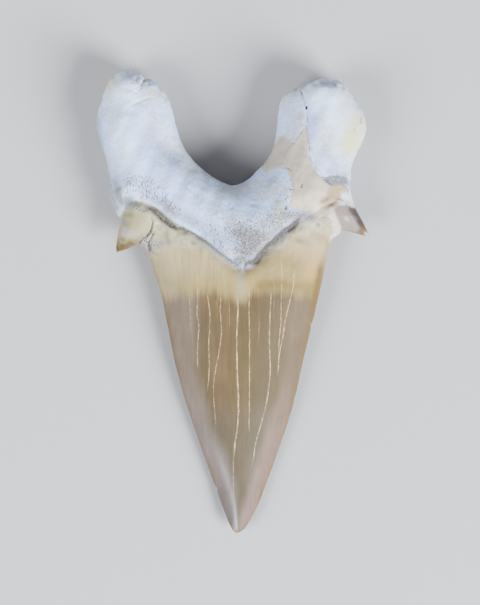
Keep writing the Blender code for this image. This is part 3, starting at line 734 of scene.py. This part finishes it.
def root_colour(paint):
    """Chalky bluish white, mottled, with fine specks that are denser lower down."""
    drift = paint.ramp(paint.cloud(0.22, 5.0, roughness=0.6), 0.38, 0.62)
    colour = paint.mix(drift, "root", "root_warm")
    broad = paint.ramp(paint.cloud(0.50, 3.0), 0.3, 0.7, 0.93, 1.06)
    fine = paint.ramp(paint.cloud(2.6, 5.0, roughness=0.7), 0.25, 0.75, 0.70, 1.20)
    colour = paint.shaded(colour, paint.times(broad, fine))
    stain = paint.ramp(paint.cloud(1.0, 6.0, roughness=0.75), 0.54, 0.68, 0.0, 0.6)
    colour = paint.mix(stain, colour, "stain")
    lower = paint.ramp(paint.axes()[1], 15.0, 27.0, 0.9, 0.5)
    small = paint.times(paint.specks(1.2, 0.13, 0.24), 0.7)
    speck = paint.largest(paint.specks(0.62, 0.11, 0.34), small)
    return paint.mix(paint.times(speck, lower), colour, "pore")


def filler_colour(paint):
    """Pinkish cream paste, smooth, with small holes."""
    tone = paint.ramp(paint.cloud(0.8, 4.0), 0.3, 0.7, 0.90, 1.08)
    holes = paint.times(paint.specks(1.0, 0.13, 0.28), 0.65)
    return paint.mix(holes, paint.shaded("filler", tone), "pore")


def neck_colour(paint):
    """The swollen band under the root, with greenish mottling."""
    tone = paint.ramp(paint.cloud(1.6, 4.0), 0.25, 0.75, 0.88, 1.22)
    mottle = paint.ramp(paint.cloud(1.3, 5.0, roughness=0.7), 0.50, 0.64, 0.0, 0.6)
    return paint.mix(mottle, paint.shaded("neck", tone), "green")


def lines_down(paint, table, half_width):
    """Lines down the blade: how much of one covers each place, and how far right of each it is."""
    x, y, _ = paint.axes()
    across = paint.plus(x, paint.ramp(paint.cloud(1.3, 3.0), 0.0, 1.0, -0.10, 0.10))
    run = CRACK_TOP - CRACK_BOTTOM
    down = paint.math("MULTIPLY_ADD", y, 1.0 / run, -CRACK_BOTTOM / run)
    beads = paint.ramp(paint.cloud(0.9, 5.0, roughness=0.75), 0.42, 0.57, 0.25, 1.0)
    cover = 0.0
    offsets = []
    for most, *points in table:
        path = smooth_path(points, step=1.5)[::-1]
        knots = [((py - CRACK_BOTTOM) / run, 0.5 + 0.5 * px / CRACK_REACH) for px, py, _ in path]
        curve = paint.curve(down, knots)
        middle = paint.math("MULTIPLY_ADD", curve, 2.0 * CRACK_REACH, -CRACK_REACH)
        offset = paint.math("SUBTRACT", across, middle)
        width = half_width * (1.0 + 0.6 * most)
        gap = paint.math("ABSOLUTE", offset)
        line = paint.ramp(gap, 0.4 * width, 1.3 * width, min(1.0, most), 0.0)
        bottom, top = path[0][1], path[-1][1]
        fade = paint.times(paint.ramp(y, top - 1.0, top + 0.5, 1.0, 0.0),
                           paint.ramp(y, bottom - 0.5, bottom + 2.5))
        cover = paint.largest(cover, paint.times(line, fade))
        offsets.append(offset)
    return paint.times(cover, beads), offsets


def strip_tones(paint, offsets):
    """A tone that steps up or down across each of the stronger cracks."""
    tones = 0.0
    for i, (offset, crack) in enumerate(zip(offsets, CRACKS)):
        if crack[0] > STRIP_STRENGTH:
            step = 1.0 if i % 2 else -1.0
            tones = paint.plus(tones, paint.ramp(offset, -0.15, 0.15, 0.0, step))
    return tones


def blade_colour(paint, strips):
    """Enamel: cream at the top, tan strips down the middle, and greyer flanks, partly their own
    tone and partly a painted sheen.
    """
    x, y, _ = paint.axes()
    streaks = paint.cloud(0.7, 3.0, paint.stretched((1.0, 0.05, 0.2)))
    fine = paint.cloud(2.4, 3.0, paint.stretched((1.0, 0.06, 0.2)), roughness=0.6)
    patches = paint.cloud(0.45, 3.0, paint.stretched((1.0, 0.4, 1.0)))
    drift = paint.ramp(streaks, 0.3, 0.7, -0.25, 0.25)

    warm = paint.plus(paint.ramp(streaks, 0.35, 0.65, -0.1, 0.8), paint.times(strips, 0.3))
    colour = paint.mix(paint.ramp(warm, 0.0, 1.0), "tan", "tan_warm")
    colour = paint.mix(paint.ramp(y, -26.0, -14.0, 0.9, 0.0), colour, "tan_low")
    lower = paint.ramp(y, -30.0, -8.0, 1.0, 0.0)
    # Greyer flanks: partly their own tone, partly a painted sheen, lighter towards the tip
    for side, low, high in (("left_flank", -1.7, 1.7), ("right_flank", -0.9, 1.1)):
        share = paint.beyond(side, drift, low, high)
        colour = paint.mix(share, colour, paint.mix(lower, side, f"{side}_low"))

    ragged = paint.plus(paint.ramp(streaks, 0.3, 0.7, -0.4, 0.4),
                        paint.ramp(fine, 0.3, 0.7, -0.2, 0.2))
    band = paint.mix(paint.ramp(paint.plus(y, ragged), 3.0, 8.5), "band", "band_pale")
    band = paint.mix(paint.ramp(x, -13.0, -6.0, 0.8, 0.0), band, "band_pale")
    colour = paint.mix(paint.beyond("above_band", ragged, -1.8, 1.5), colour, band)

    tone = paint.times(paint.ramp(fine, 0.3, 0.7, 0.93, 1.06),
                       paint.ramp(patches, 0.3, 0.7, 0.92, 1.08))
    thin = paint.beyond("from_rim", drift, 0.0, 0.9, 0.75, 0.0)
    thin = paint.times(thin, paint.ramp(paint.cloud(0.16, 2.0), 0.38, 0.62, 0.35, 1.0))
    return paint.mix(thin, paint.shaded(colour, tone), "amber")


def cusp_colour(paint):
    """The two side cusps, each with a warmer tip, and the right one darker on its upper right, a
    painted shade.
    """
    x, y, _ = paint.axes()
    soft = paint.ramp(paint.cloud(1.0, 3.0), 0.3, 0.7, -0.5, 0.5)
    tip = paint.ramp(paint.plus(y, soft), 9.8, 12.9, 1.0, 0.0)
    left = paint.mix(tip, "left_cusp", "left_cusp_tip")
    outer = paint.plus(paint.math("MULTIPLY_ADD", y, 0.5, x), paint.times(soft, 0.6))
    # Painted shade: the right cusp darker on its upper right side
    right = paint.mix(paint.ramp(outer, 28.9, 30.4), "right_cusp", "right_cusp_dark")
    outer = paint.plus(paint.math("SUBTRACT", x, y), soft)
    right = paint.mix(paint.ramp(outer, 8.9, 10.8), right, "right_cusp_tip")
    return paint.mix(paint.ramp(x, -1.0, 1.0), left, right)


def stained(paint, colour):
    """A colour under all the tints, with the holes of the porous patches."""
    cloudy = paint.ramp(paint.cloud(1.1, 5.0, roughness=0.6), 0.3, 0.7, 0.84, 1.12)
    for name in TINTS:
        colour = paint.mix(paint.times(paint.marking(name), cloudy), colour, name)
    porous = paint.marking("porous")
    sponge = paint.plus(paint.cloud(2.9, 3.0, roughness=0.6), paint.times(porous, 0.20))
    sponge = paint.times(paint.ramp(sponge, 0.62, 0.74), paint.ramp(porous, 0.05, 0.3, 0.0, 0.75))
    return paint.mix(sponge, colour, "pore")


def dirtied(paint, colour, crumbs):
    """A colour under the dirt in pits and grooves, which crumbs leave uneven."""
    for name, least, dirt in (("pits", 0.45, "pore"), ("grime", 0.65, "grime")):
        share = paint.times(paint.marking(name), paint.ramp(crumbs, 0.35, 0.6, least, 1.0))
        colour = paint.mix(share, colour, dirt)
    return colour


def fossil_material(colours):
    """One material for the whole tooth, laid by the attributes that its mesh carries."""
    material = bpy.data.materials.new("fossil")
    material.use_nodes = True
    shader = material.node_tree.nodes["Principled BSDF"].inputs
    paint = Painter(material, colours)
    ragged = paint.ramp(paint.cloud(1.5, 4.0), 0.2, 0.8, -0.35, 0.35)
    crumbs = paint.cloud(3.0, 3.0, roughness=0.6)

    chipped = paint.plus(paint.times(ragged, 0.6), paint.ramp(crumbs, 0.3, 0.7, -0.15, 0.15))
    on_root = paint.beyond("above_lip", ragged, -0.45, 0.35)
    bare = paint.beyond("above_enamel", ragged, -0.4, 0.4)
    on_filler = paint.beyond("in_filler", chipped, -0.25, 0.25)
    on_cusp = paint.beyond("in_cusp", paint.times(ragged, 0.5), -0.25, 0.3)
    cracks, offsets = lines_down(paint, CRACKS, half_width=0.066)
    hairs, _ = lines_down(paint, HAIRLINES, half_width=0.06)

    blade = blade_colour(paint, strip_tones(paint, offsets))
    colour = paint.mix(bare, blade, neck_colour(paint))
    colour = paint.mix(on_root, colour, root_colour(paint))
    colour = paint.mix(on_filler, colour, filler_colour(paint))
    colour = paint.mix(on_cusp, colour, cusp_colour(paint))
    colour = stained(paint, colour)
    colour = paint.mix(cracks, colour, "crack")
    colour = paint.mix(hairs, colour, "brown")
    paint.tree.links.new(dirtied(paint, colour, crumbs), shader["Base Color"])

    matt = paint.largest(paint.times(bare, paint.ramp(on_cusp, 0.0, 1.0, 1.0, 0.0)), on_filler)
    enamel = paint.ramp(on_cusp, 0.0, 1.0, BLADE_ROUGHNESS, CUSP_ROUGHNESS)
    roughness = paint.plus(enamel, paint.times(matt, CHALK_ADDS))
    paint.tree.links.new(roughness, shader["Roughness"])
    shader["Specular IOR Level"].default_value = 0.07

    grain = paint.times(paint.cloud(2.2, 5.0, roughness=0.6), matt)
    height = paint.plus(grain, paint.times(cracks, CRACK_BUMP))
    values = {"Height": height, "Strength": 0.5, "Distance": 0.15 * MM}
    paint.tree.links.new(paint.add("ShaderNodeBump", values).outputs[0], shader["Normal"])
    return material


def divide(bm, faces):
    """Cuts each edge of these faces in two, and the faces with them."""
    edges = {edge for face in faces for edge in face.edges}
    bmesh.ops.subdivide_edges(bm, edges=list(edges), cuts=1, use_grid_fill=True)
    bmesh.ops.triangulate(bm, faces=bm.faces)


def smooth(bm, verts, passes, back=0.0):
    """Eases the facets. A step back after each pass keeps the volume."""
    axes = {"use_axis_x": True, "use_axis_y": True, "use_axis_z": True}
    for _ in range(passes):
        bmesh.ops.smooth_vert(bm, verts=verts, factor=0.5, **axes)
        if back:
            bmesh.ops.smooth_vert(bm, verts=verts, factor=-back, **axes)


def places_of(bm):
    """Where the vertices are across the tooth, in millimetres."""
    bm.verts.index_update()
    return np.array([v.co.xy for v in bm.verts])


def rim_of(bm, is_front):
    """The edges between the inner and the outer face."""
    return [e for e in bm.edges if e.link_faces[0][is_front] != e.link_faces[1][is_front]]


def is_detailed(places):
    """Where the small forms of the inner face are, which need the finest mesh."""
    detail = np.abs(above(places, ROOT_LIP)) < FINE_AT_LIP
    detail |= gap_to(places, TIP_RIDGE) < FINE_AT_RIDGE
    for table in (PORES, PITS, GRIT, LIP_GROOVES, LIP_RIDGES):
        detail |= strokes(places, table) > 0.1
    for _, width, _, *points in FURROWS:
        if width < BROAD_FURROW:
            detail |= gap_to(places, points) < FINE_AT_FURROW + 1.5 * width
    for outline in (FILLER, LEFT_CUSP, RIGHT_CUSP):
        detail |= np.abs(within(places, outline)) < FINE_AT_OUTLINE
    return detail


def fine_mesh():
    """The model's surface in millimetres, merged, divided finely and eased.

    The crown's edges are kept. A layer of the mesh says which faces are on the inner side.
    """
    bm = bmesh.new()
    bm.from_mesh(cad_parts[NODE].data)
    bmesh.ops.remove_doubles(bm, verts=bm.verts, dist=MERGE_GAP * MM)
    bmesh.ops.scale(bm, verts=bm.verts, vec=(1.0 / MM, 1.0 / MM, 1.0 / MM))
    bm.normal_update()
    is_front = bm.faces.layers.int.new("front")
    for face in bm.faces:
        face[is_front] = int(face.normal.z > 0.0)
    divide(bm, bm.faces)
    divide(bm, [f for f in bm.faces if f[is_front]])

    places = places_of(bm)
    above_lip = above(places, ROOT_LIP)
    kept = {v for e in rim_of(bm, is_front) for v in e.verts if above_lip[v.index] < 0.0}
    free = [v for v in bm.verts if v not in kept]
    smooth(bm, free, passes=24, back=0.53)
    blade = (above_lip < -BLADE_START) & (above(places, ENAMEL_EDGE) < 0.0)
    smooth(bm, [v for v in free if blade[v.index]], passes=12)
    bm.normal_update()
    neck = np.abs(above_lip + NECK_MIDDLE) < NECK_HALF
    smooth(bm, [v for v in free if neck[v.index] and v.normal.z > 0.0], passes=6)

    detail = is_detailed(places_of(bm))
    divide(bm, [f for f in bm.faces if f[is_front] and any(detail[v.index] for v in f.verts)])
    return bm, is_front


def rim_gap(places, rim):
    """The gap from each place to the edges between the two faces, seen from above."""
    tree = kdtree.KDTree(2 * len(rim))
    for i, vertex in enumerate(v for e in rim for v in e.verts):
        tree.insert((vertex.co.x, vertex.co.y, 0.0), i)
    tree.balance()
    return np.array([tree.find((x, y, 0.0))[2] for x, y in places])


def tint_markings(places, shown):
    """How strongly each tint covers each place."""
    markings = {name: strokes(places, table) * shown for name, table in TINTS.items()}
    for name, (most, soft, *outline) in AREAS.items():
        area = most * smooth_step(-soft, soft, within(places, outline)) * shown
        markings[name] = np.maximum(markings[name], area)
    return markings


def groove_relief(places, front, relief):
    """The lip with its grooves, the furrows and the bumps: their height, and their dirt."""
    grooves = strokes(places, LIP_GROOVES) * front
    height = relief.lip / MM * strokes(places, LIP_RIDGES) * front
    height -= relief.groove / MM * grooves
    grime = GROOVE_DIRT * grooves
    for depth, width, dirt, *points in FURROWS:
        furrow = strokes(places, [(1.0, width, *points)]) * front
        height -= relief.furrows * depth * furrow
        grime = np.maximum(grime, FURROW_DIRT * dirt * furrow)
    return height, np.clip(grime, 0.0, MOST_DIRT)


def pocks(places, table, spacing, radii, stretch=1.0, turn=0.0, seed=1):
    """How deep in scattered pocks each place is, and how close to their rims.

    They fill the soft strokes of a table.
    """
    scatter = np.random.default_rng(seed)
    knots = np.array([p[:2] for _, _, *points in table for p in points])
    low, high = knots.min(axis=0) - 4.0, knots.max(axis=0) + 4.0
    columns, rows = np.arange(low[0], high[0], spacing), np.arange(low[1], high[1], spacing)
    grid = np.stack(np.meshgrid(columns, rows), -1).reshape(-1, 2)
    centres = grid + scatter.uniform(-0.5, 0.5, grid.shape) * spacing
    sizes = radii[0] + (radii[1] - radii[0]) * scatter.random(len(centres)) ** 2
    chosen = scatter.random(len(centres)) < strokes(centres, table)
    cosine, sine = math.cos(math.radians(turn)), math.sin(math.radians(turn))
    depth = np.zeros(len(places))
    rim = np.zeros(len(places))
    for centre, size in zip(centres[chosen], sizes[chosen]):
        near = np.flatnonzero(np.all(np.abs(places - centre) < 1.5 * size * stretch, axis=1))
        x, y = (places[near] - centre).T
        gap = np.hypot((x * cosine + y * sine) / stretch, y * cosine - x * sine) / size
        # A flat floor, a slope that ends past the radius, and a rim outside it
        depth[near] = np.maximum(depth[near], smooth_step(-1.15, -0.45, -gap))
        rim[near] = np.maximum(rim[near], bell(gap - 1.3, 0.25))
    return depth, rim * (1.0 - depth)


def pock_relief(places, front, above_lip, in_cusp):
    """How deep in the root's pores, pits and grit each place is, and how close to their rims."""
    pores, _ = pocks(places, PORES, spacing=0.42, radii=(0.08, 0.20), seed=3)
    pits, rims = pocks(
        places, PITS, spacing=0.50, radii=(0.08, 0.13), stretch=4.2, turn=-62.0, seed=5
    )
    grit, crumbs = pocks(places, GRIT, spacing=0.42, radii=(0.08, 0.20), seed=7)
    on_lobes = front * smooth_step(-0.1, 0.4, above_lip)
    off_cusps = front & (in_cusp < 0.1)
    depth = np.maximum(np.maximum(pores, pits) * on_lobes, grit * off_cusps)
    return depth, np.maximum(rims * on_lobes, 0.5 * crumbs * off_cusps)


def layered(spot, settings):
    """Noise in layers at a place."""
    scale, fade, finer, layers = settings
    return noise.fractal(scale * spot, fade, finer, layers)


def unevenness(bm, on_root, gritty):
    """The root's chalky grain and broad swell, and the enamel's waves, at each vertex."""
    chalk, swell, wave = np.zeros((3, len(bm.verts)))
    for i, vertex in enumerate(bm.verts):
        spot = vertex.co
        if on_root[i] > 0.0:
            chalk[i] = layered(spot, CHALK_NOISE)
            swell[i] = layered(spot, SWELL_NOISE)
        else:
            wave[i] = noise.noise(Vector((0.8 * spot.x, 0.04 * spot.y, 0.0)))
        if gritty[i] > 0.05:
            chalk[i] += gritty[i] * layered(spot, GRIT_NOISE)
    return chalk, swell, wave


def facet_relief(places, front, depth):
    """How far the facet beside the tip's ridge is sunk: most halfway to the cutting edge."""
    x, y = places.T
    _, ridge = nearest(places, smooth_path(TIP_RIDGE), 6.0)
    width = FACET_RIGHT - line_at(LEFT_EDGE, y)
    share = np.clip((FACET_RIGHT - x) / np.maximum(width, 0.1), 0.0, 1.0)
    on_facet = front & (y > TIP_RIDGE[-1][1])
    return depth * ridge * 4.0 * share * (1.0 - share) * on_facet


def move(bm, offsets):
    """Moves the vertices, chips the cutting edges, and keeps everything above the floor."""
    moved = np.array([v.co for v in bm.verts])
    x, y = moved[:, 0].copy(), moved[:, 1].copy()
    moved += offsets
    for (nick_x, nick_y), depth, width in NICKS:
        reach = bell(np.hypot(x - nick_x, y - nick_y), width)
        moved[:, 0] -= math.copysign(depth, nick_x) * reach
    moved[:, 2] = np.maximum(moved[:, 2], 0.0)
    for vertex, place in zip(bm.verts, moved):
        vertex.co = place


def shape_relief(bm, is_front, relief):
    """Moves the vertices by the small relief, and gives the markings at each of them."""
    places = places_of(bm)
    x, y = places.T
    bm.normal_update()
    normals = np.array([v.normal for v in bm.verts])
    front = np.zeros(len(places), bool)
    front[[v.index for f in bm.faces if f[is_front] for v in f.verts]] = True
    rim = rim_of(bm, is_front)
    from_rim = rim_gap(places, rim)
    above_lip = np.where(front, above(places, ROOT_LIP), above(places, BACK_ROOT_EDGE))
    above_enamel = np.where(front, above(places, ENAMEL_EDGE), above(places, BACK_ENAMEL_EDGE))
    in_filler = within(places, FILLER) - np.where(front, 0.0, 0.8)
    in_cusp = np.maximum(within(places, LEFT_CUSP), within(places, RIGHT_CUSP))

    markings = tint_markings(places, np.where(front, 1.0, smooth_step(-WRAP, 0.0, -from_rim)))
    height, grime = groove_relief(places, front, relief)
    pits, rims = pock_relief(places, front, above_lip, in_cusp)
    markings["pale"] = np.maximum(markings["pale"], 0.6 * rims)
    height -= relief.pits / MM * (pits - 0.5 * rims)

    gritty = strokes(places, GRIT) * front
    on_root = smooth_step(-0.3, 0.5, above_lip) * (in_cusp < 0.0)
    on_blade = smooth_step(0.2, 1.2, -above_lip)
    on_tops = bell(from_rim, 0.9) * smooth_step(33.0, 37.0, y)
    paste = smooth_step(-0.15, 0.25, in_filler)
    chalk, swell, wave = unevenness(bm, on_root, gritty)
    height += relief.chalk / MM * chalk * np.maximum(on_root, gritty) * (1.0 - 0.7 * paste)
    height += relief.swell / MM * swell * on_root * (1.0 - 0.5 * paste)
    height += relief.rim / MM * chalk * on_tops
    height += relief.filler / MM * paste * front
    height += relief.enamel / MM * wave * on_blade * smooth_step(0.3, 1.5, from_rim)
    height -= facet_relief(places, front, relief.facet / MM)
    move(bm, normals * height[:, None])

    # The cutting edges stay sharp
    for edge in rim:
        if max(above_lip[v.index] for v in edge.verts) < 0.0:
            edge.smooth = False
    markings.update(
        above_lip=above_lip, above_enamel=above_enamel, in_filler=in_filler, in_cusp=in_cusp,
        above_band=y - np.interp(x, *np.array(BAND_EDGE).T), from_rim=from_rim,
        left_flank=line_at(LEFT_FLANK, y) - x, right_flank=x - line_at(RIGHT_FLANK, y),
        pits=0.75 * pits, grime=grime,
    )
    return markings


class FOSSIL_OT_tooth(Operator):
    """Makes the tooth with its fine relief and markings, in place of the plain model"""

    bl_idname = "fossil.tooth"
    bl_label = "Make Tooth"

    def execute(self, context):
        bm, is_front = fine_mesh()
        markings = shape_relief(bm, is_front, context.scene.fossil_relief)
        bmesh.ops.scale(bm, verts=bm.verts, vec=(MM, MM, MM))
        mesh = bpy.data.meshes.new(PIECE)
        bm.to_mesh(mesh)
        bm.free()
        for name, values in markings.items():
            attribute = mesh.attributes.new(name, "FLOAT", "POINT")
            attribute.data.foreach_set("value", values.astype(np.float32))
        mesh.shade_smooth()
        mesh.materials.append(fossil_material(context.scene.fossil_colours))
        piece = bpy.data.objects.new(PIECE, mesh)
        context.scene.collection.objects.link(piece)
        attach(piece, BODY)
        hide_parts(NODE)
        print(f"{PIECE}: {len(mesh.polygons)} triangles")
        return {"FINISHED"}


def plain_material(name, colour, roughness):
    """One even colour, for the floor."""
    material = bpy.data.materials.new(name)
    material.use_nodes = True
    shader = material.node_tree.nodes["Principled BSDF"]
    shader.inputs["Base Color"].default_value = (*colour, 1.0)
    shader.inputs["Roughness"].default_value = roughness
    return material


class FOSSIL_OT_stage(Operator):
    """Makes the floor, the lights and the camera that looks straight down"""

    bl_idname = "fossil.stage"
    bl_label = "Make Stage"

    def execute(self, context):
        scene = context.scene
        settings = scene.fossil_stage
        bm = bmesh.new()
        bmesh.ops.create_grid(bm, x_segments=1, y_segments=1, size=FLOOR_REACH)
        mesh = bpy.data.meshes.new("floor")
        bm.to_mesh(mesh)
        bm.free()
        mesh.materials.append(plain_material("floor", settings.floor, roughness=0.9))
        floor = bpy.data.objects.new("floor", mesh)
        scene.collection.objects.link(floor)

        for name, place in SOFTBOXES.items():
            light = bpy.data.lights.new(f"{name}_softbox", "AREA")
            light.shape = "RECTANGLE"
            light.size, light.size_y = SOFTBOX_SIZE
            light.energy = getattr(settings, f"{name}_power")
            light.color = settings.light
            lamp = bpy.data.objects.new(light.name, light)
            lamp.location = place
            lamp.rotation_euler = Vector(place).to_track_quat("Z", "Y").to_euler()
            lamp.visible_camera = False
            scene.collection.objects.link(lamp)

        scene.world = bpy.data.worlds.new("room")
        scene.world.use_nodes = True
        background = scene.world.node_tree.nodes["Background"]
        background.inputs["Color"].default_value = (*settings.light, 1.0)
        background.inputs["Strength"].default_value = settings.room

        camera = bpy.data.cameras.new("camera")
        camera.lens = settings.lens
        view = bpy.data.objects.new("camera", camera)
        x, y = VIEW_CENTRE
        view.location = (x * MM, y * MM, OUTLINE_HEIGHT * MM + settings.distance)
        scene.collection.objects.link(view)
        scene.camera = view
        return {"FINISHED"}


class FOSSIL_PT_tooth(Panel):
    """Lists what makes the tooth and its stage."""

    bl_idname = "FOSSIL_PT_tooth"
    bl_label = "Fossil Tooth"
    bl_space_type = "VIEW_3D"
    bl_region_type = "UI"
    bl_category = "Fossil Tooth"

    def draw(self, context):
        layout = self.layout
        layout.operator(FOSSIL_OT_tooth.bl_idname)
        layout.operator(FOSSIL_OT_stage.bl_idname)
        for name in SETTINGS:
            group = getattr(context.scene, name)
            box = layout.box()
            for key in group.__annotations__:
                box.prop(group, key, text=key.replace("_", " ").capitalize())


SETTINGS = {
    "fossil_relief": ToothRelief,
    "fossil_colours": ToothColours,
    "fossil_stage": StageSettings,
}
CLASSES = (*SETTINGS.values(), FOSSIL_OT_tooth, FOSSIL_OT_stage, FOSSIL_PT_tooth)


def register():
    for cls in CLASSES:
        bpy.utils.register_class(cls)
    for name, group in SETTINGS.items():
        setattr(bpy.types.Scene, name, PointerProperty(type=group))


def unregister():
    for name in SETTINGS:
        delattr(bpy.types.Scene, name)
    for cls in reversed(CLASSES):
        bpy.utils.unregister_class(cls)


def main():
    register()
    bpy.ops.fossil.tooth()
    bpy.ops.fossil.stage()


if __name__ == "__main__":
    main()
